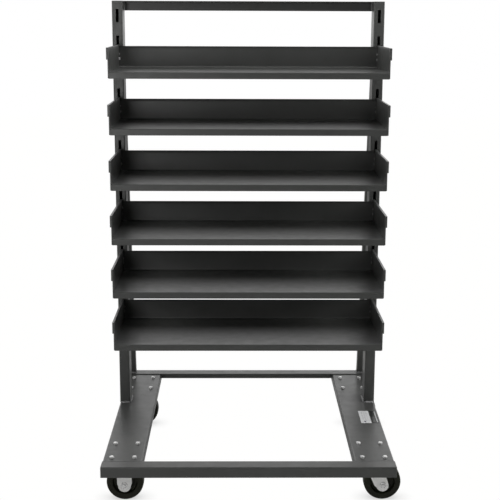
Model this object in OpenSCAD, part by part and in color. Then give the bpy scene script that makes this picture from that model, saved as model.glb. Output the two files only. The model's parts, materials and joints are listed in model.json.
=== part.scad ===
// Mobile shelf cart: a low base frame on four casters, two slotted uprights
// with rear braces, and six cantilever shelves that hook into the slots.
// Millimetres, +Z up. The front of the cart faces -Y.
// The origin is on the floor, under the centre of the whole cart's box. The modules
// draw about the middle of the base frame, and placed() moves them there.

/* [Base frame] */
// Width over the two side rails
base_w = 972; // [900:2:1100]
// Length of the base, front to back
base_l = 1020; // [980:2:1100]
// Height of the side rails' top faces above the floor
base_z = 168; // [168:1:176]
// Width of one side rail
rail_w = 132; // [128:1:140]
// Depth of the side rails' down-turned flanges
rail_h = 35; // [30:1:36]
// Depth of the front crossbar's down-turned flanges
front_bar_h = 36; // [32:1:37]
// Thickness of the frame's formed sheet
frame_t = 3; // [2.5:0.5:4]
// Outside radius of the frame's bends
bend_r = 5; // [4:0.5:6]
// Width of the front crossbar's top face
front_bar_w = 58; // [50:1:62]
// Amount by which the front crossbar passes each side rail
front_bar_over = 1.5; // [0:0.5:4]
// Width of the rear crossbar's top leg
rear_bar_w = 53; // [45:1:60]

/* [Uprights] */
// Width of an upright, seen from the front
post_w = 38; // [34:1:44]
// Depth of an upright, front to back
post_d = 80; // [70:1:90]
// Distance of the uprights' front faces behind the base's centre
post_y = 118; // [100:1:130]
// Height of the uprights' tops above the floor
top_z = 1669; // [1660:1:1700]
// Height of the top crossbar
top_bar_h = 34; // [28:1:44]
// Forward reach of the top crossbar's upper leg
top_bar_leg = 40; // [30:1:60]
// Side of the square brace tube
brace_w = 32; // [26:1:34]
// How far the braces stand out beyond the uprights' outer faces
brace_over = 3.5; // [0:0.5:4]
// Height at which the brace's front edge meets the upright
brace_meet_z = 1640; // [1600:1:1650]

/* [Slots] */
// Distance from an upright's top to its first slot
slot_drop = 28.4; // [24:0.2:34]
// Distance from one slot to the next
slot_pitch = 93.4; // [92:0.2:96]
// Height of a slot
slot_h = 46.8; // [44:0.2:50]
// Width of a slot
slot_w = 10.8; // [8.6:0.2:12]
// Number of slots in each upright
slot_count = 13; // [13:1:14]

/* [Shelves] */
// Depth of a tray, front to back
tray_d = 342; // [320:2:342]
// Thickness of the tray's sheet
tray_t = 2; // [1.5:0.5:2]
// Height of the tray's back panel above its floor
tray_back_h = 75; // [66:1:76]
// Height of the tray's front lip
tray_lip_h = 22; // [18:1:26]
// Height of an end bracket above the tray's floor
bracket_h = 79; // [79:1:80]
// Thickness of an end bracket
bracket_t = 3; // [2.5:0.5:3]
// Width of a bracket's outward flanges, from its outer face
bracket_flange = 4; // [3:0.5:6]

/* [Casters] */
// Diameter of a wheel
wheel_d = 127; // [120:1:127]
// Width of a wheel's tread
wheel_w = 50; // [44:1:50]
// Offset of a swivel caster's axle from its kingpin
trail = 37; // [30:1:40]
// Distance of the front casters' centres ahead of the base's centre
front_caster_y = 365; // [350:1:370]
// Distance of the rear casters' centres behind the base's centre
rear_caster_y = 346; // [340:1:370]
// Bolt spacing of a caster plate across the cart
bolt_dx = 76.5; // [74:0.5:80]
// Bolt spacing of a caster plate along the cart
bolt_dy = 124.7; // [122:0.1:127]

/* [Hidden] */

$fn = 64;

paint = "#4b4c4d";
zinc = "#c9c8c4";
steel = "#a8a9aa";
black = "#20211f";

half_w = base_w / 2;
half_l = base_l / 2;
rail_x0 = half_w - rail_w;
caster_x = half_w - rail_w / 2;
rear_bar_h = rail_h + 1;
post_x0 = half_w - post_w;
post_x = half_w - post_w / 2;
post_r = 4;
slot_r = 0.5;
foot_z = base_z + frame_t;

// Brace: its rear edge stands at the back of the rear crossbar and leans forward
brace_x1 = half_w + brace_over;
brace_foot_y = half_l - 2;
brace_run = brace_foot_y - brace_w * 1.018 - post_y - post_d;
brace_lean = brace_run / (brace_meet_z - foot_z);
brace_top_z = top_z - 5;

// The swivel wheels trail past the right rail, so the cart's box reaches further right
box_left = half_w + max(front_bar_over, brace_over);
box_right = caster_x + trail + wheel_d / 2;
box_shift_x = (box_left - box_right) / 2;

// Caster stack, from the floor up
axle_z = wheel_d / 2;
plate_t = 6;
plate_z = base_z - frame_t - plate_t;
plate_size = [114.3, 158.8];
crown_t = 5;
crown_z = plate_z - 15;
race_h = 3;
race_r0 = 20;
race_r1 = 34;
ball_d = 7.94;
ball_ring_r = 27;
ball_count = 18;
ball_z = (plate_z + crown_z + crown_t) / 2;
kingpin_r = 8;
kingpin_fit = 0.05;

// Axle group, measured along the axle from the wheel's middle
hub_half = 37;
leg_in = 38;
leg_t = 5;
leg_out = leg_in + leg_t;
axle_r = 6;
bushing_r = 9.5;
running_fit = 0.06;
nut_af = 19;
nut_h = 10;
head_h = 7.5;

// Plate bolts
bolt_r = 4.76;
bolt_hole_r = 5.3;
bolt_af = 14.3;
bolt_head_h = 6.4;
bolt_nut_h = 8;

// Hooks: the neck of each hook rests on the bottom edge of its slot
hook_gap = 0.2;
hook_rise = 64.4;
neck_h = 14;
tongue_drop = 11;
tongue_t = 6;
bracket_gap = 0.4;
bracket_x0 = post_x - 4;
bracket_tail = 36;
jog_h = 40;
tray_half = bracket_x0;
tray_y0 = post_y - 3 - tray_d;

// Bottom edge of slot k, where slot 0 is the highest
function slot_floor(k) = top_z - slot_drop - slot_h - k * slot_pitch;
// Floor height of shelf n, where shelf 1 is the highest
function shelf_z(n) = slot_floor(2 * n - 1) - hook_rise;
// Circumscribed radius of a hexagon that measures af across its flats
function hex_r(af) = af / sqrt(3);

// Moves its children from the base frame's middle to the box's middle
module placed() {
    translate([box_shift_x, 0, 0]) children();
}

// Mirrors its children to the left side when side is -1
module on_side(side) {
    if (side < 0) mirror([1, 0, 0]) children();
    else children();
}

// Turns a drawing in (Y, Z) into a solid that runs along X from x0 to x1
module along_x(x0, x1) {
    translate([x0, 0, 0]) rotate([90, 0, 90]) linear_extrude(height = x1 - x0) children();
}

// Turns a drawing in (X, Z) into a solid that runs along Y from y0 to y1
module along_y(y0, y1) {
    translate([0, y1, 0]) rotate([90, 0, 0]) linear_extrude(height = y1 - y0) children();
}

// Rectangle with round corners, its lower left corner at the origin
module round_rect(w, h, r) {
    translate([r, 0]) square([w - 2 * r, h]);
    translate([0, r]) square([w, h - 2 * r]);
    for (x = [r, w - r], y = [r, h - r]) translate([x, y]) circle(r = r);
}

// Section of a formed channel, open downwards, its top left corner at the origin
module channel_section(w, h, t, r) {
    intersection() {
        difference() {
            translate([0, -2 * h]) round_rect(w, 2 * h, r);
            translate([t, -2 * h - t]) round_rect(w - 2 * t, 2 * h, r - t);
        }
        translate([0, -h]) square([w, h]);
    }
}

// Quarter-round weld bead section, its square corner at the origin, in (+, +)
module bead_section(r) {
    intersection() {
        circle(r = r);
        square([r, r]);
    }
}

// The four bolt positions of a caster plate
module at_plate_bolts() {
    for (x = [-1, 1], y = [-1, 1]) translate([x * bolt_dx / 2, y * bolt_dy / 2, 0]) children();
}

// The four caster positions
module at_casters() {
    for (x = [-caster_x, caster_x], y = [-front_caster_y, rear_caster_y])
        translate([x, y, 0]) children();
}

module side_rail(side) {
    color(paint) on_side(side) difference() {
        translate([rail_x0, 0, base_z])
            along_y(-half_l + front_bar_w, half_l - bend_r)
                channel_section(rail_w, rail_h, frame_t, bend_r);
        for (y = [-front_caster_y, rear_caster_y])
            translate([caster_x, y, base_z - 2 * frame_t]) at_plate_bolts()
                cylinder(r = bolt_hole_r, h = 3 * frame_t);
    }
}

module front_crossbar() {
    bar_half = half_w + front_bar_over;
    color(paint) translate([0, -half_l, base_z]) along_x(-bar_half, bar_half)
        channel_section(front_bar_w, front_bar_h, frame_t, bend_r);
}

// Angle: its top leg lies on the rails, and its rear leg hangs behind their ends
module rear_crossbar() {
    color(paint) along_x(-half_w, half_w) {
        translate([half_l - rear_bar_w, base_z]) square([rear_bar_w - bend_r, frame_t]);
        translate([half_l - frame_t, foot_z - rear_bar_h]) square([frame_t, rear_bar_h - bend_r]);
        translate([half_l - bend_r, foot_z - bend_r]) intersection() {
            difference() {
                circle(r = bend_r);
                circle(r = bend_r - frame_t);
            }
            square([bend_r, bend_r]);
        }
    }
}

// Rectangular tube, closed at the top, with a row of slots in its front wall
module upright(side) {
    color(paint) on_side(side) difference() {
        translate([post_x0, post_y, base_z]) linear_extrude(height = top_z - base_z)
            round_rect(post_w, post_d, post_r);
        translate([post_x0 + frame_t, post_y + frame_t, base_z - 1])
            linear_extrude(height = top_z - base_z + 1 - frame_t)
                round_rect(post_w - 2 * frame_t, post_d - 2 * frame_t, post_r - frame_t);
        for (k = [0 : slot_count - 1])
            translate([post_x - slot_w / 2, 0, slot_floor(k)])
                along_y(post_y - 1, post_y + frame_t + 1) round_rect(slot_w, slot_h, slot_r);
    }
}

// Angle between the uprights, at their rear: vertical leg behind, upper leg forward
module top_crossbar() {
    y1 = post_y + post_d;
    color(paint) along_x(-post_x0, post_x0) {
        translate([y1 - frame_t, top_z - top_bar_h]) square([frame_t, top_bar_h - bend_r]);
        translate([y1 - top_bar_leg, top_z - frame_t]) square([top_bar_leg - bend_r, frame_t]);
        translate([y1 - bend_r, top_z - bend_r]) intersection() {
            difference() {
                circle(r = bend_r);
                circle(r = bend_r - frame_t);
            }
            square([bend_r, bend_r]);
        }
    }
}

// Side view of a brace: inset shrinks it for the hollow inside the tube
module brace_section(inset) {
    y_rear = post_y + post_d;
    step = brace_w * 1.018;
    rear_at = function(z) brace_foot_y - (z - foot_z) * brace_lean - inset;
    front_at = function(z) rear_at(z) - step + 2 * inset;
    z1 = brace_top_z - inset;
    z_meet = foot_z + (front_at(foot_z) - y_rear - inset) / brace_lean;
    polygon([
        [front_at(foot_z), foot_z],
        [rear_at(foot_z), foot_z],
        [rear_at(z1), z1],
        [y_rear + inset, z1],
        [y_rear + inset, z_meet]
    ]);
}

module rear_brace(side) {
    wall = 2;
    color(paint) on_side(side) difference() {
        along_x(brace_x1 - brace_w, brace_x1) brace_section(0);
        along_x(brace_x1 - brace_w + wall, brace_x1 - wall) brace_section(wall);
    }
}

module frame_weld_beads() {
    r = 4;
    brace_r = 3;
    y1 = post_y + post_d;
    color(paint) for (side = [-1, 1]) on_side(side) {
        // Foot of the upright: front, rear and inner side
        translate([0, post_y, base_z]) mirror([0, 1, 0])
            along_x(post_x0 + post_r, half_w - post_r) bead_section(r);
        translate([0, y1, base_z]) along_x(post_x0 + post_r, half_w - post_r) bead_section(r);
        translate([post_x0, 0, base_z]) mirror([1, 0, 0])
            along_y(post_y + post_r, y1 - post_r) bead_section(r);
        // Foot of the brace, at its leaning front face
        translate([0, brace_foot_y - brace_w * 1.018, foot_z])
            along_x(brace_x1 - brace_w, brace_x1)
                polygon([[0, 0], [-brace_r * brace_lean, brace_r], [-brace_r, 0]]);
        // Ends of the top crossbar, on the uprights' inner faces
        translate([post_x0, y1 - frame_t, top_z - top_bar_h + 4]) rotate([0, 0, 180])
            linear_extrude(height = top_bar_h - 12) bead_section(3);
    }
}

// Blank self-adhesive labels on the right rail, ahead of the upright
label_t = 0.3;
label_y0 = post_y - 221;
label_l = 127;

module white_label() {
    color("#e4e5e6") translate([half_w - 72, label_y0, base_z]) linear_extrude(height = label_t)
        round_rect(38, label_l, 4);
}

module dark_label() {
    color("#17181a") translate([half_w - 31, label_y0, base_z]) linear_extrude(height = label_t)
        round_rect(25, label_l, 2);
}

// Sixteen hex bolts that hold the caster plates under the rails
module caster_bolts() {
    color(zinc) at_casters() at_plate_bolts() {
        translate([0, 0, base_z]) cylinder(r = hex_r(bolt_af), h = bolt_head_h, $fn = 6);
        translate([0, 0, plate_z - bolt_nut_h - 3])
            cylinder(r = bolt_r, h = base_z - plate_z + bolt_nut_h + 3);
    }
}

module caster_nuts() {
    color(zinc) at_casters() at_plate_bolts()
        translate([0, 0, plate_z - bolt_nut_h]) difference() {
            cylinder(r = hex_r(bolt_af), h = bolt_nut_h, $fn = 6);
            translate([0, 0, -1]) cylinder(r = bolt_r + 0.02, h = bolt_nut_h + 2);
        }
}

// Flat plate with four bolt holes, common to both kinds of caster
module caster_plate() {
    difference() {
        translate([-plate_size[0] / 2, -plate_size[1] / 2, plate_z])
            linear_extrude(height = plate_t) round_rect(plate_size[0], plate_size[1], 9);
        translate([0, 0, plate_z - 1]) at_plate_bolts()
            cylinder(r = bolt_hole_r, h = plate_t + 2);
    }
}

// A pair of legs with axle holes, drawn from a leg outline in (X, Z)
module leg_pair(axle_x) {
    difference() {
        for (side = [-1, 1])
            along_y(side * (leg_in + leg_t / 2) - leg_t / 2, side * (leg_in + leg_t / 2) + leg_t / 2)
                children();
        translate([axle_x, leg_out + 1, axle_z]) rotate([90, 0, 0])
            cylinder(r = axle_r + 0.2, h = 2 * leg_out + 2);
    }
}

module rigid_bracket() {
    color(zinc) {
        caster_plate();
        leg_pair(0) union() {
            polygon([
                [-40, plate_z], [40, plate_z], [24.5, axle_z + 42], [24.5, axle_z + 2],
                [17, axle_z - 16], [-17, axle_z - 16], [-24.5, axle_z + 2], [-24.5, axle_z + 42]
            ]);
            translate([0, axle_z - 5]) circle(r = 21.5);
        }
    }
}

module swivel_top_plate() {
    color(zinc) difference() {
        union() {
            caster_plate();
            translate([0, 0, plate_z - race_h]) cylinder(r = race_r1, h = race_h);
        }
        translate([0, 0, plate_z - race_h - 1]) cylinder(r = kingpin_r, h = plate_t + race_h + 2);
        ball_groove();
    }
}

// Ring-shaped cut that the swivel balls run in
module ball_groove() {
    translate([0, 0, ball_z]) rotate_extrude()
        translate([ball_ring_r, 0]) circle(r = ball_d / 2 + kingpin_fit, $fn = 48);
}

module swivel_kingpin() {
    color(steel) {
        translate([0, 0, crown_z - 7]) cylinder(r = kingpin_r, h = plate_z + plate_t - crown_z + 7);
        translate([0, 0, crown_z - 7]) cylinder(r = 15, h = 6.7);
    }
}

module swivel_balls() {
    color(steel) for (k = [0 : ball_count - 1])
        rotate([0, 0, k * 360 / ball_count]) translate([ball_ring_r, 0, ball_z])
            sphere(d = ball_d, $fn = 24);
}

module swivel_fork() {
    top = crown_z + crown_t;
    color(zinc) difference() {
        union() {
            translate([-32, -leg_out, crown_z]) linear_extrude(height = crown_t)
                round_rect(64, 2 * leg_out, 10);
            translate([0, 0, top]) cylinder(r = race_r1, h = race_h);
            leg_pair(trail) union() {
                polygon([
                    [-30, top], [25, top], [trail + 8, axle_z + 31], [trail + 18, axle_z + 2],
                    [trail, axle_z - 25], [trail - 12, axle_z - 21],
                    [trail - 29, axle_z - 4], [trail - 45, axle_z + 31]
                ]);
                translate([trail - 1.5, axle_z - 5]) circle(r = 20.5);
            }
        }
        translate([0, 0, crown_z - 1])
            cylinder(r = kingpin_r + kingpin_fit, h = crown_t + race_h + 2);
        ball_groove();
    }
}

// Hard wheel: rounded tread, recessed web and a long hub, turned about its axle
module caster_wheel(axle_x) {
    half = wheel_w / 2;
    rim_r0 = 0.66 * wheel_d / 2;
    color(black) translate([axle_x, 0, axle_z]) rotate([90, 0, 0]) difference() {
        rotate_extrude($fn = 128) {
            translate([rim_r0, -half]) round_rect(wheel_d / 2 - rim_r0, wheel_w, 7);
            translate([16, -9]) square([rim_r0 - 10, 18]);
            translate([bushing_r + running_fit, -hub_half])
                square([19 - bushing_r - running_fit, 2 * hub_half]);
        }
        translate([0, 0, -hub_half - 1])
            cylinder(r = bushing_r + running_fit, h = 2 * hub_half + 2);
    }
}

// Sleeve clamped between the legs; the wheel turns on it
module axle_bushing(axle_x) {
    length = 2 * leg_in - 0.1;
    color(steel) translate([axle_x, length / 2, axle_z]) rotate([90, 0, 0]) difference() {
        cylinder(r = bushing_r, h = length);
        translate([0, 0, -1]) cylinder(r = axle_r + 0.05, h = length + 2);
    }
}

// Head at the rear, thread at the front
module axle_bolt(axle_x) {
    color(zinc) translate([axle_x, 0, axle_z]) rotate([90, 0, 0]) {
        translate([0, 0, -leg_out - head_h]) cylinder(r = hex_r(nut_af), h = head_h, $fn = 6);
        translate([0, 0, -leg_out]) cylinder(r = axle_r, h = 2 * leg_out + nut_h + 3);
    }
}

module axle_nut(axle_x) {
    color(zinc) translate([axle_x, 0, axle_z]) rotate([90, 0, 0]) translate([0, 0, leg_out])
        difference() {
            cylinder(r = hex_r(nut_af), h = nut_h, $fn = 6);
            translate([0, 0, -1]) cylinder(r = axle_r + 0.02, h = nut_h + 2);
        }
}

// Places a caster part at the front or the rear, on the left or the right
module at_caster(side, front) {
    placed() translate([side * caster_x, front ? -front_caster_y : rear_caster_y, 0]) children();
}

// One formed sheet: front lip with a return, floor, and back panel with a leaning top edge
module shelf_tray(n) {
    t = tray_t;
    lip_r = 3;
    back_r = 6;
    lean_h = 11;
    lean = 4;
    y1 = tray_d;
    color(paint) translate([0, tray_y0, shelf_z(n)]) along_x(-tray_half, tray_half) {
        // Return, lip and front bend
        translate([0, -tray_lip_h]) square([10, t]);
        translate([0, -tray_lip_h]) square([t, tray_lip_h - lip_r]);
        translate([lip_r, -lip_r]) intersection() {
            difference() {
                circle(r = lip_r);
                circle(r = lip_r - t);
            }
            translate([-lip_r, 0]) square([lip_r, lip_r]);
        }
        // Floor and rear bend
        translate([lip_r, -t]) square([y1 - lip_r - t - back_r, t]);
        translate([y1 - t - back_r, back_r]) intersection() {
            difference() {
                circle(r = back_r + t);
                circle(r = back_r);
            }
            translate([0, -back_r - t]) square([back_r + t, back_r + t]);
        }
        // Back panel and its leaning top edge
        translate([y1 - t, back_r]) square([t, tray_back_h - lean_h - back_r]);
        polygon([
            [y1 - t, tray_back_h - lean_h], [y1, tray_back_h - lean_h],
            [y1 - lean, tray_back_h], [y1 - t - lean, tray_back_h]
        ]);
    }
}

// End plate with outward flanges and two hooks, drawn in (Y, Z) from the shelf's floor
module shelf_bracket(n, side) {
    z0 = shelf_z(n);
    y0 = tray_y0;
    y1 = post_y - bracket_gap;
    y_in = post_y + frame_t + bracket_gap;
    upper = hook_rise + hook_gap;
    lower = upper - slot_pitch;
    x1 = bracket_x0 + bracket_t;
    hook = function(z) [
        [y1, z], [y_in, z], [y_in, z - tongue_drop], [y_in + tongue_t, z - tongue_drop],
        [y_in + tongue_t, z + neck_h - 4], [y_in + tongue_t - 4, z + neck_h], [y1, z + neck_h]
    ];
    color(paint) on_side(side) translate([0, 0, z0]) {
        along_x(bracket_x0, x1) polygon(concat(
            [[y0, bracket_h], [y0, jog_h], [y0 + 1.5, jog_h], [y0 + 1.5, -tray_lip_h + 1],
             [y0 + 60, -tray_lip_h - 2], [y1, -bracket_tail]],
            hook(lower),
            hook(upper),
            [[y1, bracket_h]]
        ));
        // Flanges along the top edge and down the upper half of the front edge
        translate([x1, y0, bracket_h - bracket_t])
            cube([bracket_flange, y1 - y0, bracket_t]);
        translate([x1, y0, jog_h])
            cube([bracket_flange, bracket_t, bracket_h - bracket_t - jog_h]);
    }
}

placed() side_rail(-1);  // left_side_rail
placed() side_rail(1);  // right_side_rail
placed() front_crossbar();
placed() rear_crossbar();
placed() upright(-1);  // left_upright
placed() upright(1);  // right_upright
placed() top_crossbar();
placed() rear_brace(-1);  // left_rear_brace
placed() rear_brace(1);  // right_rear_brace
placed() frame_weld_beads();
placed() white_label();
placed() dark_label();
placed() caster_bolts();
placed() caster_nuts();

at_caster(-1, true) rigid_bracket();  // front_left_bracket
at_caster(-1, true) axle_bushing(0);  // front_left_bushing
at_caster(-1, true) axle_bolt(0);  // front_left_axle_bolt
at_caster(-1, true) axle_nut(0);  // front_left_axle_nut
at_caster(-1, true) caster_wheel(0);  // front_left_wheel

at_caster(-1, false) rigid_bracket();  // rear_left_bracket
at_caster(-1, false) axle_bushing(0);  // rear_left_bushing
at_caster(-1, false) axle_bolt(0);  // rear_left_axle_bolt
at_caster(-1, false) axle_nut(0);  // rear_left_axle_nut
at_caster(-1, false) caster_wheel(0);  // rear_left_wheel

at_caster(1, true) swivel_top_plate();  // front_right_top_plate
at_caster(1, true) swivel_kingpin();  // front_right_kingpin
at_caster(1, true) swivel_balls();  // front_right_balls
at_caster(1, true) swivel_fork();  // front_right_fork
at_caster(1, true) axle_bushing(trail);  // front_right_bushing
at_caster(1, true) axle_bolt(trail);  // front_right_axle_bolt
at_caster(1, true) axle_nut(trail);  // front_right_axle_nut
at_caster(1, true) caster_wheel(trail);  // front_right_wheel

at_caster(1, false) swivel_top_plate();  // rear_right_top_plate
at_caster(1, false) swivel_kingpin();  // rear_right_kingpin
at_caster(1, false) swivel_balls();  // rear_right_balls
at_caster(1, false) swivel_fork();  // rear_right_fork
at_caster(1, false) axle_bushing(trail);  // rear_right_bushing
at_caster(1, false) axle_bolt(trail);  // rear_right_axle_bolt
at_caster(1, false) axle_nut(trail);  // rear_right_axle_nut
at_caster(1, false) caster_wheel(trail);  // rear_right_wheel

placed() shelf_tray(1);  // shelf_1_tray
placed() shelf_bracket(1, -1);  // shelf_1_left_bracket
placed() shelf_bracket(1, 1);  // shelf_1_right_bracket
placed() shelf_tray(2);  // shelf_2_tray
placed() shelf_bracket(2, -1);  // shelf_2_left_bracket
placed() shelf_bracket(2, 1);  // shelf_2_right_bracket
placed() shelf_tray(3);  // shelf_3_tray
placed() shelf_bracket(3, -1);  // shelf_3_left_bracket
placed() shelf_bracket(3, 1);  // shelf_3_right_bracket
placed() shelf_tray(4);  // shelf_4_tray
placed() shelf_bracket(4, -1);  // shelf_4_left_bracket
placed() shelf_bracket(4, 1);  // shelf_4_right_bracket
placed() shelf_tray(5);  // shelf_5_tray
placed() shelf_bracket(5, -1);  // shelf_5_left_bracket
placed() shelf_bracket(5, 1);  // shelf_5_right_bracket
placed() shelf_tray(6);  // shelf_6_tray
placed() shelf_bracket(6, -1);  // shelf_6_left_bracket
placed() shelf_bracket(6, 1);  // shelf_6_right_bracket
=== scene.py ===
"""Looks for the mobile book cart: finishes, weld beads, bolts, wheels, labels, floor, light and camera.

Everything is in metres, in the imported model's frame: X right, Y back, Z up, the floor at Z = 0.
"""
import json
import math
import random

import bmesh
import bpy
from mathutils import Matrix, Vector


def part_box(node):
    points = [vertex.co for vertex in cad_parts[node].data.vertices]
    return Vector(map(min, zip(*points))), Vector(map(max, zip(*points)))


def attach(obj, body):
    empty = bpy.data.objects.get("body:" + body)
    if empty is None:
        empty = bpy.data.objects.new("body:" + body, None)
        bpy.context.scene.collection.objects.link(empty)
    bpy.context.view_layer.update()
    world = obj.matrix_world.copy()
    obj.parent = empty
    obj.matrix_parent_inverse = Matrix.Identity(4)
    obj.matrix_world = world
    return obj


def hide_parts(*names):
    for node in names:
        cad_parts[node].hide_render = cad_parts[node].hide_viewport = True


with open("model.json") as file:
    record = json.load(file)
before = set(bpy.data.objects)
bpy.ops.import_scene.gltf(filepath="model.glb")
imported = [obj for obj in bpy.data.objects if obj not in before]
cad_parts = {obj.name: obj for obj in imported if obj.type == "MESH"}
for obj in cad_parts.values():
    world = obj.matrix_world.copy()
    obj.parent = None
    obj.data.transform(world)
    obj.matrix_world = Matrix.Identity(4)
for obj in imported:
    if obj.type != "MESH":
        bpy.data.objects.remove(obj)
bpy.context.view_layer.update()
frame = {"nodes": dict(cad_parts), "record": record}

MM = 0.001
X, Y, Z = Vector((1, 0, 0)), Vector((0, 1, 0)), Vector((0, 0, 1))
SIDES = {"left": -1, "right": 1}
SHELVES = range(1, 7)
CASTERS = ("front_left", "rear_left", "front_right", "rear_right")

bar_low, bar_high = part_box("front_crossbar")
BASE_X = (bar_low.x + bar_high.x) / 2
BASE_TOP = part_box("left_side_rail")[1].z


# ---------------------------------------------------------------- node materials

class Nodes:
    """A node tree under construction. Each method adds nodes and returns an output."""

    def __init__(self, tree):
        self.tree = tree

    def node(self, kind, inputs=None, **settings):
        """Adds one node and returns the node itself."""
        made = self.tree.nodes.new(kind)
        for key, value in settings.items():
            setattr(made, key, value)
        for key, value in (inputs or {}).items():
            self.put(made.inputs[key], value)
        return made

    def put(self, socket, value):
        """Links an output to the socket, or sets the socket's own value."""
        if isinstance(value, bpy.types.NodeSocket):
            self.tree.links.new(value, socket)
        elif isinstance(value, (tuple, list)) and socket.type == "RGBA":
            socket.default_value = (*value[:3], 1)
        else:
            socket.default_value = value

    def math(self, operation, a, b=0.0, c=0.0):
        return self.node("ShaderNodeMath", {0: a, 1: b, 2: c}, operation=operation).outputs[0]

    def remap(self, value, from_low, from_high, to_low=0.0, to_high=1.0, curve="LINEAR"):
        return self.node("ShaderNodeMapRange", {
            "Value": value, "From Min": from_low, "From Max": from_high,
            "To Min": to_low, "To Max": to_high}, interpolation_type=curve).outputs[0]


class Shader(Nodes):
    """A material's node tree around its principled shader."""

    def __init__(self, name):
        self.material = bpy.data.materials.new(name)
        self.material.use_nodes = True
        super().__init__(self.material.node_tree)
        self.bsdf = self.tree.nodes["Principled BSDF"]
        self.position = self.node("ShaderNodeTexCoord").outputs["Object"]

    def set(self, **inputs):
        """Sets inputs of the principled shader; an underscore stands for a space."""
        for key, value in inputs.items():
            self.put(self.bsdf.inputs[key.replace("_", " ")], value)

    def noise(self, scale, detail=2.0, roughness=0.5, vector=None):
        return self.node("ShaderNodeTexNoise", {
            "Vector": vector or self.position, "Scale": scale, "Detail": detail,
            "Roughness": roughness}).outputs["Fac"]

    def voronoi(self, scale, output="Color"):
        return self.node("ShaderNodeTexVoronoi",
                         {"Vector": self.position, "Scale": scale}).outputs[output]

    def scaled(self, factors):
        """Position stretched by a factor along each axis."""
        return self.node("ShaderNodeVectorMath", {0: self.position, 1: factors},
                         operation="MULTIPLY").outputs[0]

    def mix(self, amount, a, b):
        made = self.node("ShaderNodeMix", data_type="RGBA")
        self.put(made.inputs[0], amount)
        self.put(made.inputs[6], a)
        self.put(made.inputs[7], b)
        return made.outputs[2]

    def bump(self, height, strength, distance, normal=None):
        inputs = {"Height": height, "Strength": strength, "Distance": distance}
        if normal is not None:
            inputs["Normal"] = normal
        return self.node("ShaderNodeBump", inputs).outputs[0]

    def axis(self, letter):
        split = self.node("ShaderNodeSeparateXYZ", {0: self.position})
        return split.outputs[letter]

    def edges(self, radius):
        """0 on flat faces, rising to 1 where the surface turns sharply within radius."""
        rounded = self.node("ShaderNodeBevel", {"Radius": radius}, samples=4).outputs[0]
        flat = self.node("ShaderNodeNewGeometry").outputs["Normal"]
        dot = self.node("ShaderNodeVectorMath", {0: rounded, 1: flat},
                        operation="DOT_PRODUCT").outputs["Value"]
        return self.remap(dot, 0.985, 0.80)

    def facing_up(self):
        normal = self.node("ShaderNodeNewGeometry").outputs["Normal"]
        return self.node("ShaderNodeSeparateXYZ", {0: normal}).outputs["Z"]


def powder_coat(name="grey_powder_coat", dark=(0.057, 0.059, 0.055), light=(0.071, 0.073, 0.069),
                rough=(0.29, 0.38)):
    """Dark grey semi-gloss powder coat: orange peel, cloudy tone, painted top light, rubbed edges."""
    s = Shader(name)
    cloud = s.noise(7, detail=4, roughness=0.6)
    grain = s.noise(420, detail=3, roughness=0.6)
    tone = s.mix(s.remap(cloud, 0.3, 0.7), dark, light)
    tone = s.mix(s.remap(grain, 0.35, 0.65, 0.0, 0.35), tone, (0.082, 0.083, 0.084))
    # Faces that look up are painted lighter in cloudy patches: painted light from above
    painted_top_light = s.math("MULTIPLY", s.remap(s.facing_up(), 0.85, 1.0), s.remap(cloud, 0.35, 0.75, 0.05, 0.22))
    tone = s.mix(painted_top_light, tone, (0.12, 0.12, 0.118))
    # Paint is thin on sharp edges and rubs through here and there
    wear_spots = s.remap(s.noise(55, detail=3, roughness=0.7), 0.50, 0.66)
    wear = s.math("MULTIPLY", s.edges(1.6 * MM), s.remap(wear_spots, 0, 1, 0.10, 0.75))
    tone = s.mix(wear, tone, (0.34, 0.34, 0.335))
    peel = s.noise(900, detail=2, roughness=0.45)
    waviness = s.noise(40, detail=1)
    normal = s.bump(peel, 0.12, 0.2 * MM)
    normal = s.bump(waviness, 0.05, 0.6 * MM, normal)
    s.set(Base_Color=tone, Roughness=s.remap(s.noise(30, detail=3), 0.3, 0.7, *rough),
          Metallic=s.math("MULTIPLY", wear, 0.6), Normal=normal)
    return s.material


def zinc_plate(name="bright_zinc", base=(0.97, 0.965, 0.95), dull=(0.88, 0.875, 0.86), metal=0.06,
               rough=(0.30, 0.46)):
    """Bright zinc plate with a faint spangle, cloudy dull patches and fine scratches."""
    s = Shader(name)
    spangle = s.voronoi(320)
    grey = s.node("ShaderNodeRGBToBW", {0: spangle}).outputs[0]
    cloud = s.noise(60, detail=4, roughness=0.65)
    tone = s.mix(s.remap(cloud, 0.35, 0.7), base, dull)
    tone = s.mix(s.remap(grey, 0.2, 0.8, 0.0, 0.25), tone, (0.97, 0.97, 0.96))
    scratch = s.noise(240, detail=4, roughness=0.8, vector=s.scaled((1.0, 1.0, 0.12)))
    tone = s.mix(s.remap(scratch, 0.62, 0.75, 0.0, 0.35), tone, (0.40, 0.40, 0.40))
    edge = s.edges(1.0 * MM)
    tone = s.mix(s.math("MULTIPLY", edge, 0.5), tone, (0.92, 0.92, 0.91))
    normal = s.bump(s.noise(700, detail=3), 0.12, 0.2 * MM)
    normal = s.bump(scratch, 0.10, 0.1 * MM, normal)
    s.set(Base_Color=tone, Metallic=metal, Roughness=s.remap(cloud, 0.3, 0.7, *rough),
          Normal=normal)
    return s.material


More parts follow.
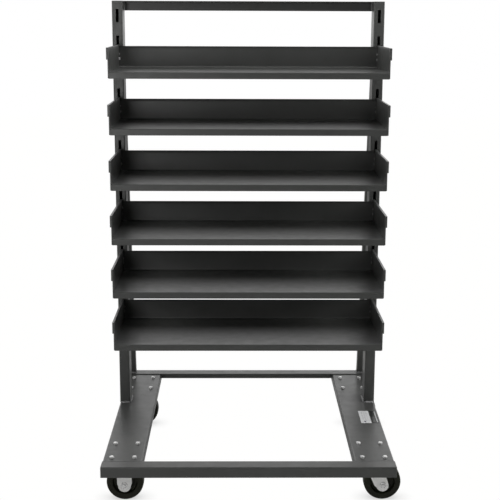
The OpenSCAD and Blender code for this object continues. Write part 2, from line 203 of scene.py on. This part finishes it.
def turned_steel():
    """Turned steel with fine rings and a trace of oil."""
    s = Shader("turned_steel")
    lines = s.noise(900, detail=2, roughness=0.6, vector=s.scaled((0.15, 1.0, 1.0)))
    stain = s.noise(90, detail=4, roughness=0.7)
    tone = s.mix(s.remap(lines, 0.3, 0.7), (0.40, 0.40, 0.41), (0.54, 0.54, 0.55))
    tone = s.mix(s.remap(stain, 0.52, 0.72, 0.0, 0.6), tone, (0.16, 0.13, 0.10))
    s.set(Base_Color=tone, Metallic=0.95, Roughness=s.remap(stain, 0.3, 0.7, 0.25, 0.45),
          Normal=s.bump(lines, 0.15, 0.1 * MM))
    return s.material


def hard_rubber():
    """Near-black moulded rubber, slightly olive, with a fine grain and dusty scuffs."""
    s = Shader("hard_black_rubber")
    cloud = s.noise(45, detail=4, roughness=0.6)
    grain = s.noise(1100, detail=2)
    tone = s.mix(s.remap(cloud, 0.3, 0.7), (0.0120, 0.0126, 0.0068), (0.0190, 0.0200, 0.0112))
    scuff = s.remap(s.noise(260, detail=4, roughness=0.75), 0.58, 0.72, 0.0, 0.4)
    tone = s.mix(scuff, tone, (0.024, 0.024, 0.020))
    normal = s.bump(grain, 0.18, 0.15 * MM)
    normal = s.bump(cloud, 0.08, 0.5 * MM, normal)
    s.set(Base_Color=tone, Roughness=s.remap(cloud, 0.3, 0.7, 0.38, 0.52), Normal=normal,
          Specular_IOR_Level=0.2)
    return s.material


def panel_mask(s, node, across, along):
    """1 on the panel of a node between two shares of its width and two of its length, 0 elsewhere."""
    low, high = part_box(node)
    inside = None
    for letter, axis, shares in (("X", 0, across), ("Y", 1, along)):
        start, end = (low[axis] + share * (high[axis] - low[axis]) for share in shares)
        place = s.axis(letter)
        band = s.math("MULTIPLY", s.math("GREATER_THAN", place, start), s.math("LESS_THAN", place, end))
        inside = band if inside is None else s.math("MULTIPLY", inside, band)
    return inside


def white_label_film():
    """Glossy white film with columns of grey dashes and one dark spot where a label has print."""
    s = Shader("white_label_film")
    tone = s.mix(s.remap(s.noise(200, detail=3), 0.3, 0.7), (0.96, 0.97, 0.98), (1.0, 1.0, 1.0))
    for middle in (0.29, 0.51, 0.73):
        column = panel_mask(s, "white_label", (middle - 0.07, middle + 0.07), (0.26, 0.90))
        dashes = s.remap(s.noise(420, detail=1, vector=s.scaled((0.3, 1.0, 1.0))), 0.42, 0.58, 0.0, 0.30)
        tone = s.mix(s.math("MULTIPLY", column, dashes), tone, (0.42, 0.43, 0.44))
    spot = panel_mask(s, "white_label", (0.30, 0.50), (0.10, 0.18))
    tone = s.mix(s.math("MULTIPLY", spot, 0.85), tone, (0.03, 0.04, 0.09))
    s.set(Base_Color=tone, Roughness=0.20, Normal=s.bump(s.noise(500), 0.05, 0.1 * MM))
    return s.material


def dark_label_film():
    """Black film with a white strip along its outer side and a scuffed panel."""
    s = Shader("dark_label_film")
    tone = s.mix(s.remap(s.noise(160, detail=3), 0.3, 0.7), (0.010, 0.011, 0.011), (0.024, 0.025, 0.022))
    strip = panel_mask(s, "dark_label", (0.68, 0.86), (0.06, 0.96))
    tone = s.mix(s.math("MULTIPLY", strip, 0.9), tone, (0.62, 0.63, 0.63))
    panel = panel_mask(s, "dark_label", (0.16, 0.52), (0.08, 0.52))
    blocks = s.remap(s.voronoi(170, output="Distance"), 0.25, 0.5, 0.0, 0.35)
    tone = s.mix(s.math("MULTIPLY", panel, blocks), tone, (0.28, 0.29, 0.28))
    s.set(Base_Color=tone, Roughness=0.28, Normal=s.bump(s.noise(300), 0.06, 0.1 * MM),
          Specular_IOR_Level=0.15)
    return s.material


FINISHES = {
    "grey_paint": powder_coat(),
    "zinc_plate": zinc_plate(),
    "bare_steel": turned_steel(),
    "wheel_black": hard_rubber(),
    "label_white": white_label_film(),
    "label_dark": dark_label_film(),
}
# Beads and tacks take the grey powder coat made several times lighter: a painted highlight where the
# rounded welds catch the light
WELD_PAINTED_HIGHLIGHT = powder_coat("weld_coat_painted_highlight", dark=(0.24, 0.24, 0.24), light=(0.42, 0.42, 0.42),
                           rough=(0.22, 0.32))
BOLT_ZINC = zinc_plate("polished_zinc", base=(0.99, 0.99, 0.98), dull=(0.92, 0.92, 0.91), metal=0.25,
                       rough=(0.20, 0.32))
AXLE_ZINC = zinc_plate("axle_zinc", base=(0.82, 0.82, 0.82), dull=(0.60, 0.60, 0.60), metal=0.75,
                       rough=(0.16, 0.26))


def finish_piece(obj, slot, finish=None):
    """Gives a piece its slot's material, or another finish of the same slot."""
    obj.data.materials.clear()
    obj.data.materials.append(finish or FINISHES[slot])


# ---------------------------------------------------------------- mesh helpers

def new_piece(name, bm, slot, body, finish=None):
    """Turns a bmesh into a piece that rides on a CAD body."""
    bmesh.ops.recalc_face_normals(bm, faces=bm.faces)
    mesh = bpy.data.meshes.new(name)
    bm.to_mesh(mesh)
    bm.free()
    for polygon in mesh.polygons:
        polygon.use_smooth = True
    obj = bpy.data.objects.new(name, mesh)
    bpy.context.scene.collection.objects.link(obj)
    finish_piece(obj, slot, finish)
    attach(obj, body)
    return obj


def bridge_rings(bm, rings, caps=True):
    """Skins a list of rings of vertices, each with the same count."""
    count = len(rings[0])
    for a, b in zip(rings, rings[1:]):
        for i in range(count):
            j = (i + 1) % count
            bm.faces.new((a[i], a[j], b[j], b[i]))
    if caps:
        bm.faces.new(rings[0])
        bm.faces.new(rings[-1])


def crisp_normals(obj, angle=30):
    """Smooth shading that stays crisp where faces meet at more than the angle."""
    modifier = obj.modifiers.new("crisp", "WEIGHTED_NORMAL")
    modifier.keep_sharp = True
    bm = bmesh.new()
    bm.from_mesh(obj.data)
    for edge in bm.edges:
        if len(edge.link_faces) == 2:
            edge.smooth = edge.calc_face_angle(0) < math.radians(angle)
    bm.to_mesh(obj.data)
    bm.free()


# ---------------------------------------------------------------- CAD nodes: finish and soft edges

EDGE_RADIUS = {"grey_paint": 0.7 * MM, "zinc_plate": 0.6 * MM, "bare_steel": 0.3 * MM}


def soften_edges(obj, width):
    """Small rounded edges by modifiers only; the CAD mesh itself stays as packed."""
    weld = obj.modifiers.new("weld", "WELD")
    weld.merge_threshold = 0.002 * MM
    flat = obj.modifiers.new("flat", "DECIMATE")
    flat.decimate_type = "DISSOLVE"
    flat.angle_limit = math.radians(0.5)
    bevel = obj.modifiers.new("bevel", "BEVEL")
    bevel.width = width
    bevel.segments = 2
    bevel.limit_method = "ANGLE"
    bevel.angle_limit = math.radians(35)
    bevel.use_clamp_overlap = True
    normals = obj.modifiers.new("normals", "WEIGHTED_NORMAL")
    normals.keep_sharp = False


slot_of = {part["node"]: part["material_slot"] for part in frame["record"]["subparts"]}
for node_name, node_obj in frame["nodes"].items():
    node_slot = slot_of[node_name]
    finish_piece(node_obj, node_slot)
    if node_slot in EDGE_RADIUS and not node_name.endswith("balls"):
        soften_edges(node_obj, EDGE_RADIUS[node_slot])


# ---------------------------------------------------------------- weld beads and tacks

def add_bead(bm, start, end, out_a, out_b, radius, rng, ripple=2.6 * MM):
    """Rippled fillet weld along the corner from start to end; out_a and out_b point along its two faces."""
    along = end - start
    length = along.length
    steps_per_ripple = 5
    steps = max(8, int(length / ripple * steps_per_ripple))
    arc_steps = 7
    # The root reaches a little into the corner, and the face is flatter than a quarter circle
    root_share = 0.15
    flattening = 0.10
    rings = []
    wander = rng.uniform(0, 6)
    for i in range(steps + 1):
        at = length * i / steps
        ripple_share = abs(math.sin(math.pi * at / ripple))
        size = radius * (0.84 + 0.16 * ripple_share + 0.08 * math.sin(wander + at / (4.1 * MM)))
        end_gap = min(at, length - at) / radius
        if end_gap < 1:
            size *= math.sqrt(max(0.02, 1 - (1 - end_gap) ** 2))
        centre = start + along * (at / length)
        ring = [bm.verts.new(centre - (out_a + out_b) * root_share * radius)]
        for k in range(arc_steps + 1):
            angle = math.pi / 2 * k / arc_steps
            swell = size * (1 - flattening * math.sin(2 * angle))
            ring.append(bm.verts.new(centre + (out_a * math.cos(angle) + out_b * math.sin(angle)) * swell))
        rings.append(ring)
    bridge_rings(bm, rings)


FRAME_WALL = 3 * MM
BRACE_FOOT_DEPTH = 32.6 * MM
POST_BEAD, POST_RIPPLE = 7.0 * MM, 4.6 * MM
POST_SIDE_BEAD, POST_SIDE_RIPPLE = 5.6 * MM, 4.2 * MM
SMALL_BEAD = 3.0 * MM


def frame_welds():
    """Beads at the feet of uprights and braces and at the ends of the top crossbar.

    Each bead stops a little short of the edges that it runs between.
    """
    rng = random.Random(11)
    bm = bmesh.new()
    for name, side in SIDES.items():
        low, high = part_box(f"{name}_upright")
        inner = low.x if side > 0 else high.x
        outer = high.x if side > 0 else low.x
        inward = -X * side
        for y, out in ((low.y, -Y), (high.y, Y)):
            start = Vector((inner + 0.9 * MM * side, y, BASE_TOP))
            end = Vector((outer - 3 * MM * side, y, BASE_TOP))
            add_bead(bm, start, end, out, Z, POST_BEAD, rng, ripple=POST_RIPPLE)
        start = Vector((inner, low.y + 2 * MM, BASE_TOP))
        end = Vector((inner, high.y - 2 * MM, BASE_TOP))
        add_bead(bm, start, end, inward, Z, POST_SIDE_BEAD, rng, ripple=POST_SIDE_RIPPLE)
        # Top crossbar's end, in the corner with the upright's inner face
        top_low, top_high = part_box("top_crossbar")
        wall = top_high.y - FRAME_WALL
        start = Vector((inner, wall, top_low.z + 3 * MM))
        end = Vector((inner, wall, top_high.z - 6 * MM))
        add_bead(bm, start, end, inward, -Y, SMALL_BEAD, rng)
        # Brace's foot on the rear crossbar: across its front, then along its inner side
        brace_low, brace_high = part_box(f"{name}_rear_brace")
        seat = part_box("rear_crossbar")[1].z
        front = brace_high.y - BRACE_FOOT_DEPTH
        start = Vector((brace_low.x + 1 * MM, front, seat))
        end = Vector((brace_high.x - 1 * MM, front, seat))
        add_bead(bm, start, end, -Y, Z, SMALL_BEAD, rng)
        brace_inner = brace_low.x if side > 0 else brace_high.x
        start = Vector((brace_inner, front + 1 * MM, seat))
        end = Vector((brace_inner, brace_high.y - 2 * MM, seat))
        add_bead(bm, start, end, inward, Z, SMALL_BEAD, rng)
    # The beads wear the lightened weld coat, a painted highlight
    welds = new_piece("weld_beads", bm, "grey_paint", "frame", WELD_PAINTED_HIGHLIGHT)
    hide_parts("frame_weld_beads")


TRAY_SHEET = 2 * MM
TRAY_BACK_HEIGHT = 75 * MM


def shelf_tacks():
    """Short tacks that join each tray to its end brackets, behind and below."""
    rng = random.Random(23)
    for n in SHELVES:
        low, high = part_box(f"shelf_{n}_tray")
        floor_z = high.z - TRAY_BACK_HEIGHT
        under_z = floor_z - TRAY_SHEET
        back_y = high.y - TRAY_SHEET
        bm = bmesh.new()
        for side in SIDES.values():
            wall_x = high.x if side > 0 else low.x
            inward = -X * side
            # Height above the floor and length, in millimetres, for two tacks up the back corner
            for height, size in ((28, 9), (47, 7)):
                z = floor_z + (height + rng.uniform(-2.5, 2.5)) * MM
                half = (size + rng.uniform(-1, 2)) * MM / 2
                start = Vector((wall_x, back_y, z - half))
                end = Vector((wall_x, back_y, z + half))
                add_bead(bm, start, end, inward, -Y, rng.uniform(3.4, 4.4) * MM, rng)
            for share in (0.12, 0.5, 0.85):
                y = low.y + (high.y - low.y) * share
                start = Vector((wall_x, y - 8 * MM, under_z))
                end = Vector((wall_x, y + 8 * MM, under_z))
                add_bead(bm, start, end, inward, -Z, 2.6 * MM, rng)
        # The tacks wear the lightened weld coat, a painted highlight
        new_piece(f"shelf_{n}_tack_welds", bm, "grey_paint", f"shelf_{n}", WELD_PAINTED_HIGHLIGHT)


def flush_seams():
    """Welds ground flush where the side rails' tops run into the front crossbar."""
    bm = bmesh.new()
    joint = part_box("front_crossbar")[1].y
    end_inset = 5.2 * MM
    # (across the joint, above the rail) in millimetres: a faint crown between two buried edges
    section = ((-2.2, -0.6), (-1.8, 0.02), (-0.9, 0.06), (0.0, 0.08), (0.9, 0.06), (1.8, 0.02), (2.2, -0.6))
    for name in SIDES:
        low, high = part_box(f"{name}_side_rail")
        rings = []
        for x in (low.x + end_inset, high.x - end_inset):
            rings.append([bm.verts.new((x, joint + y * MM, BASE_TOP + z * MM)) for y, z in section])
        bridge_rings(bm, rings)
    new_piece("flush_seams", bm, "grey_paint", "frame")


frame_welds()
shelf_tacks()
flush_seams()


# ---------------------------------------------------------------- bolts and nuts

def along_axis(origin, axis):
    """Matrix that takes local Z to the axis at the origin."""
    return Matrix.Translation(origin) @ axis.to_track_quat("Z", "Y").to_matrix().to_4x4()


def add_hex(bm, place, across_flats, height, bore=0.0, chamfer_below=False, turn=0.0):
    """Hexagon with the usual 30 degree chamfer, from local Z = 0 to height."""
    points = 48
    slope = math.tan(math.radians(30))
    seat_share = 0.95
    seat = across_flats / 2 * seat_share

    def ring(radius_at, z_at):
        made = []
        for i in range(points):
            theta = 2 * math.pi * i / points
            within = (theta + math.pi / 6) % (math.pi / 3) - math.pi / 6
            hexagon = across_flats / 2 / math.cos(within)
            r, z = radius_at(hexagon), z_at(hexagon)
            at = Vector((r * math.cos(theta + turn), r * math.sin(theta + turn), z))
            made.append(bm.verts.new(place @ at))
        return made

    def drop(hexagon):
        return (hexagon - seat) * slope

    rings = []
    bore_chamfer = 0.6 * MM
    if bore:
        rings.append(ring(lambda h: bore, lambda h: 0.0))
    rings.append(ring(lambda h: seat, lambda h: 0.0))
    rings.append(ring(lambda h: h, lambda h: drop(h) if chamfer_below else 0.0))
    rings.append(ring(lambda h: h, lambda h: height - drop(h)))
    rings.append(ring(lambda h: seat, lambda h: height))
    if bore:
        rings.append(ring(lambda h: bore + bore_chamfer, lambda h: height))
        rings.append(ring(lambda h: bore, lambda h: height - bore_chamfer))
        bridge_rings(bm, rings + rings[:1], caps=False)
    else:
        rings.append(ring(lambda h: seat * 0.5, lambda h: height + 0.02 * MM))
        bridge_rings(bm, rings)


def add_shank(bm, place, radius, start, end, thread_from, pitch):
    """Round shank from local Z = start to end, with a thread beyond thread_from."""
    around = 20
    rows_per_turn = 6
    depth = 0.3 * pitch
    tip = 1.0 * MM
    stations = [start, thread_from]
    rows = int((end - thread_from) / pitch * rows_per_turn)
    stations += [thread_from + (end - thread_from) * (i + 1) / rows for i in range(rows)]
    rings = []
    for z in stations:
        ring = []
        for i in range(around):
            turn = i / around
            r = radius
            if z > thread_from:
                phase = (z / pitch - turn) % 1.0
                r -= depth * (1 - abs(2 * phase - 1))
                r -= max(0.0, z - (end - tip)) * 0.8
            angle = 2 * math.pi * turn
            ring.append(bm.verts.new(place @ Vector((r * math.cos(angle), r * math.sin(angle), z))))
        rings.append(ring)
    bridge_rings(bm, rings)


def island_centres(node, spacing=20 * MM):
    """Centres in X and Y of a node's separate solids, which are farther apart than the spacing."""
    groups = []
    for vertex in frame["nodes"][node].data.vertices:
        at = vertex.co.xy.copy()
        for group in groups:
            if (group[0] - at).length < spacing:
                group.append(at)
                break
        else:
            groups.append([at])
    centres = []
    for points in groups:
        xs, ys = [p.x for p in points], [p.y for p in points]
        centres.append(((min(xs) + max(xs)) / 2, (min(ys) + max(ys)) / 2))
    return sorted(centres)


PLATE_HEX = 13.2 * MM
PLATE_SHANK, PLATE_BORE, PLATE_PITCH = 4.76 * MM, 4.8 * MM, 1.5 * MM
AXLE_HEX, AXLE_HEAD = 19 * MM, 7.5 * MM
AXLE_SHANK, AXLE_BORE, AXLE_PITCH = 6 * MM, 6.05 * MM, 1.75 * MM


def plate_fasteners():
    """Sixteen bolts through the rails and caster plates, and their nuts."""
    rng = random.Random(5)
    bolt_low, bolt_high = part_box("caster_bolts")
    nut_low, nut_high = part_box("caster_nuts")
    washer_face = 0.4 * MM
    plain_length = 8 * MM
    head_height = bolt_high.z - BASE_TOP - washer_face
    bolts, nuts = bmesh.new(), bmesh.new()
    for x, y in island_centres("caster_bolts"):
        head = along_axis(Vector((x, y, BASE_TOP)), Z) @ Matrix.Translation((0, 0, washer_face))
        add_hex(bolts, head, PLATE_HEX, head_height, turn=rng.uniform(0, 1))
        add_shank(bolts, along_axis(Vector((x, y, BASE_TOP)), -Z), PLATE_SHANK, -washer_face,
                  BASE_TOP - bolt_low.z, plain_length, PLATE_PITCH)
        add_hex(nuts, along_axis(Vector((x, y, nut_high.z)), -Z), PLATE_HEX, nut_high.z - nut_low.z,
                bore=PLATE_BORE, chamfer_below=True, turn=rng.uniform(0, 1))
    for name, bm in (("plate_bolts", bolts), ("plate_nuts", nuts)):
        piece = new_piece(name, bm, "zinc_plate", "frame", BOLT_ZINC)
        crisp_normals(piece)
        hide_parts(name.replace("plate", "caster"))


def axle_fasteners():
    """Each axle's bolt, with its head at the rear, and the nut on its thread at the front."""
    rng = random.Random(8)
    for caster in CASTERS:
        body = "frame" if caster.endswith("left") else f"{caster}_swivel_body"
        bolt_low, bolt_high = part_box(f"{caster}_axle_bolt")
        nut_low, nut_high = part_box(f"{caster}_axle_nut")
        centre_x, centre_z = (nut_low.x + nut_high.x) / 2, (nut_low.z + nut_high.z) / 2
        turn = rng.uniform(0, 1)
        bm = bmesh.new()
        head_base = Vector((centre_x, bolt_high.y - AXLE_HEAD, centre_z))
        add_hex(bm, along_axis(head_base, Y), AXLE_HEX, AXLE_HEAD, turn=turn)
        thread_from = head_base.y - nut_high.y + 1 * MM
        add_shank(bm, along_axis(head_base, -Y), AXLE_SHANK, 0, head_base.y - bolt_low.y,
                  thread_from, AXLE_PITCH)
        piece = new_piece(f"{caster}_axle_bolt_threaded", bm, "zinc_plate", body, AXLE_ZINC)
        crisp_normals(piece)
        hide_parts(f"{caster}_axle_bolt")
        bm = bmesh.new()
        nut_face = along_axis(Vector((centre_x, nut_high.y, centre_z)), -Y)
        add_hex(bm, nut_face, AXLE_HEX, nut_high.y - nut_low.y, bore=AXLE_BORE,
                chamfer_below=True, turn=turn + 0.4)
        piece = new_piece(f"{caster}_axle_nut_chamfered", bm, "zinc_plate", body, AXLE_ZINC)
        crisp_normals(piece)
        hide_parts(f"{caster}_axle_nut")


plate_fasteners()
axle_fasteners()


# ---------------------------------------------------------------- wheels

def arc_points(centre, radius, start_deg, end_deg, steps):
    """Points along an arc about the centre, both ends included."""
    points = []
    for i in range(steps + 1):
        angle = math.radians(start_deg + (end_deg - start_deg) * i / steps)
        points.append((centre[0] + radius * math.cos(angle), centre[1] + radius * math.sin(angle)))
    return points


def wheel_profile(radius, half, hub_half, bore):
    """Half section of a wheel in (radius, width), from the tread's middle to the bore, in millimetres."""
    seam = [(radius, 0), (radius, 0.3), (radius - 0.25, 0.6)]
    crown = [(radius - 0.2, half - 14), (radius - 0.6, half - 9)]
    shoulder = arc_points((radius - 8.2, half - 7.6), 7.6, 0, 90, 8)
    recess = 0.66 * radius
    rim_face = [(recess + 4.5, half), (recess + 3, half - 0.4)]
    rim_edge = arc_points((recess + 1.4, half - 1.9), 1.4, 90, 180, 4)
    recess_wall = [(recess - 1.2, half - 9)]
    recess_foot = arc_points((recess - 5.2, half - 11.6), 4.0, 0, -90, 5)
    web_ring = [(31.5, half - 15.6), (30.8, half - 14.6), (29.0, half - 14.6), (28.2, half - 15.6)]
    hub_foot = arc_points((23.0, half - 11.6), 4.0, 270, 180, 4)
    hub = [(18.8, hub_half - 1.0), (17.8, hub_half), (bore + 0.8, hub_half), (bore, hub_half - 0.8)]
    return (seam + crown + shoulder + rim_face + rim_edge + recess_wall + recess_foot + web_ring
            + hub_foot + hub + [(bore, 0)])


def caster_wheels():
    """Moulded wheels, turned about their axles from one section."""
    around = 96
    tread_half, bore = 25.0, 9.56
    for caster in CASTERS:
        low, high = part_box(f"{caster}_wheel")
        centre = (low + high) / 2
        radius = (high.z - low.z) / 2 / MM
        hub_half = (high.y - low.y) / 2 / MM
        profile = wheel_profile(radius, tread_half, hub_half, bore)
        outline = profile + [(r, -w) for r, w in reversed(profile[1:-1])]
        bm = bmesh.new()
        rings = []
        for i in range(around):
            angle = 2 * math.pi * i / around
            rings.append([bm.verts.new(centre + Vector((r * math.cos(angle), w, r * math.sin(angle))) * MM)
                          for r, w in outline])
        bridge_rings(bm, rings + rings[:1], caps=False)
        bmesh.ops.remove_doubles(bm, verts=bm.verts, dist=0.001 * MM)
        piece = new_piece(f"{caster}_moulded_wheel", bm, "wheel_black", f"{caster}_wheel_body")
        crisp_normals(piece, 40)
        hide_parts(f"{caster}_wheel")


caster_wheels()


# ---------------------------------------------------------------- floor, light, camera

FLOOR_HALF = 14
FLOOR_DROP = 0.2 * MM
FLOOR_GLOW = 0.10
REAR_WALL, ROOM = 1.35, 0.01


def pale_floor():
    """White floor: the camera sees it evenly lit but for a soft shadow under the wheels."""
    bm = bmesh.new()
    bmesh.ops.create_grid(bm, x_segments=1, y_segments=1, size=FLOOR_HALF)
    mesh = bpy.data.meshes.new("floor")
    bm.to_mesh(mesh)
    bm.free()
    floor = bpy.data.objects.new("floor", mesh)
    bpy.context.scene.collection.objects.link(floor)
    floor.location.z = -FLOOR_DROP
    s = Shader("studio_floor")
    open_sky = s.node("ShaderNodeAmbientOcclusion", {"Distance": 0.07}, samples=16).outputs["AO"]
    shade = s.remap(open_sky, 0.2, 0.95, 0.62, 1.0)
    seen = s.node("ShaderNodeEmission", {"Color": (1.0, 1.0, 0.995), "Strength": shade}).outputs[0]
    s.set(Base_Color=(0.60, 0.60, 0.59), Roughness=0.85, Emission_Color=(1.0, 1.0, 1.0),
          Emission_Strength=FLOOR_GLOW)
    camera_ray = s.node("ShaderNodeLightPath").outputs["Is Camera Ray"]
    surface = s.node("ShaderNodeMixShader", {0: camera_ray, 1: s.bsdf.outputs[0], 2: seen}).outputs[0]
    s.put(s.tree.nodes["Material Output"].inputs["Surface"], surface)
    floor.data.materials.append(s.material)


def area_light(name, location, target, size, power):
    """A rectangular soft light at the location, aimed at the target."""
    data = bpy.data.lights.new(name, "AREA")
    data.shape = "RECTANGLE"
    data.size, data.size_y = size
    data.energy = power
    light = bpy.data.objects.new(name, data)
    light.location = location
    light.rotation_mode = "QUATERNION"
    light.rotation_quaternion = (Vector(location) - Vector(target)).to_track_quat("Z", "Y")
    bpy.context.scene.collection.objects.link(light)


def studio_world():
    """White backdrop for the camera; everything else sees a bright wall behind the cart and a dim room."""
    world = bpy.data.worlds.new("studio")
    bpy.context.scene.world = world
    world.use_nodes = True
    n = Nodes(world.node_tree)
    n.tree.nodes.clear()
    backdrop = n.node("ShaderNodeBackground", {"Color": (1, 1, 1), "Strength": 1.0}).outputs[0]
    direction = n.node("ShaderNodeTexCoord").outputs["Generated"]
    toward = n.node("ShaderNodeSeparateXYZ", {0: direction}).outputs
    # The wall fills the directions that point back, above the floor's edge and below the wall's top
    behind = n.remap(toward["Y"], 0.0, 0.3, curve="SMOOTHSTEP")
    above_floor = n.remap(toward["Z"], -0.10, 0.0, curve="SMOOTHSTEP")
    below_top = n.remap(toward["Z"], 0.65, 0.55, curve="SMOOTHSTEP")
    wall = n.math("MULTIPLY", n.math("MULTIPLY", behind, above_floor), below_top)
    strength = n.math("MULTIPLY_ADD", wall, REAR_WALL, ROOM)
    room = n.node("ShaderNodeBackground", {"Strength": strength}).outputs[0]
    camera_ray = n.node("ShaderNodeLightPath").outputs["Is Camera Ray"]
    seen = n.node("ShaderNodeMixShader", {0: camera_ray, 1: room, 2: backdrop}).outputs[0]
    n.node("ShaderNodeOutputWorld", {"Surface": seen})


pale_floor()
studio_world()
# Place, aim, panel size and watts, about the base's middle
LIGHTS = {
    "overhead_centre": ((0.0, -0.6, 2.9), (0.0, -0.2, 0.2), (1.6, 0.9), 9),
    "overhead_right": ((1.5, -0.6, 2.9), (0.4, -0.2, 0.2), (1.1, 0.9), 7),
    "overhead_rear": ((0.0, 0.4, 2.9), (0.0, 0.1, 0.2), (1.6, 0.9), 4),
    "side_left": ((-2.6, -0.6, 1.9), (0.0, 0.0, 0.9), (1.2, 0.9), 20),
    "side_right": ((2.6, -0.6, 1.9), (0.0, 0.0, 0.9), (1.2, 0.9), 26),
    "high_left": ((-2.6, -0.6, 2.8), (0.0, 0.0, 0.9), (1.2, 0.9), 6),
    "high_right": ((2.6, -0.6, 2.8), (0.0, 0.0, 0.9), (1.2, 0.9), 12),
    "front_low": ((-1.2, -4.2, 1.0), (0.0, 0.0, 0.9), (0.9, 0.8), 14),
    "front_left": ((-1.2, -4.2, 1.9), (0.0, 0.0, 0.9), (0.9, 0.8), 5),
    "front_right": ((1.2, -4.2, 1.9), (0.0, 0.0, 0.9), (0.9, 0.8), 4),
}
for light_name, (place, aim, panel, watts) in LIGHTS.items():
    area_light(light_name, X * BASE_X + Vector(place), X * BASE_X + Vector(aim), panel, watts)

# The camera stands in front of the cart and looks a little down; its place is from the base's middle
CAMERA_AT = Vector((-0.037, -3.951, 1.627))
CAMERA_PITCH, CAMERA_YAW, CAMERA_ROLL = (math.radians(v) for v in (11.96, 0.64, 0.20))
CAMERA_LENS = 80.5


def camera():
    """The scene's camera, turned by its yaw, pitch and a small roll."""
    data = bpy.data.cameras.new("camera")
    data.sensor_width = 36
    data.lens = CAMERA_LENS
    obj = bpy.data.objects.new("camera", data)
    bpy.context.scene.collection.objects.link(obj)
    level = math.cos(CAMERA_PITCH)
    forward = Vector((math.sin(CAMERA_YAW) * level, math.cos(CAMERA_YAW) * level,
                      -math.sin(CAMERA_PITCH)))
    right = Vector((math.cos(CAMERA_YAW), -math.sin(CAMERA_YAW), 0))
    up = right.cross(forward)
    cos_roll, sin_roll = math.cos(CAMERA_ROLL), math.sin(CAMERA_ROLL)
    columns = (right * cos_roll + up * sin_roll, up * cos_roll - right * sin_roll, -forward)
    turned = Matrix(columns).transposed().to_4x4()
    obj.matrix_world = Matrix.Translation(CAMERA_AT + X * BASE_X) @ turned
    bpy.context.scene.camera = obj


camera()
bpy.context.scene.view_settings.view_transform = "Standard"
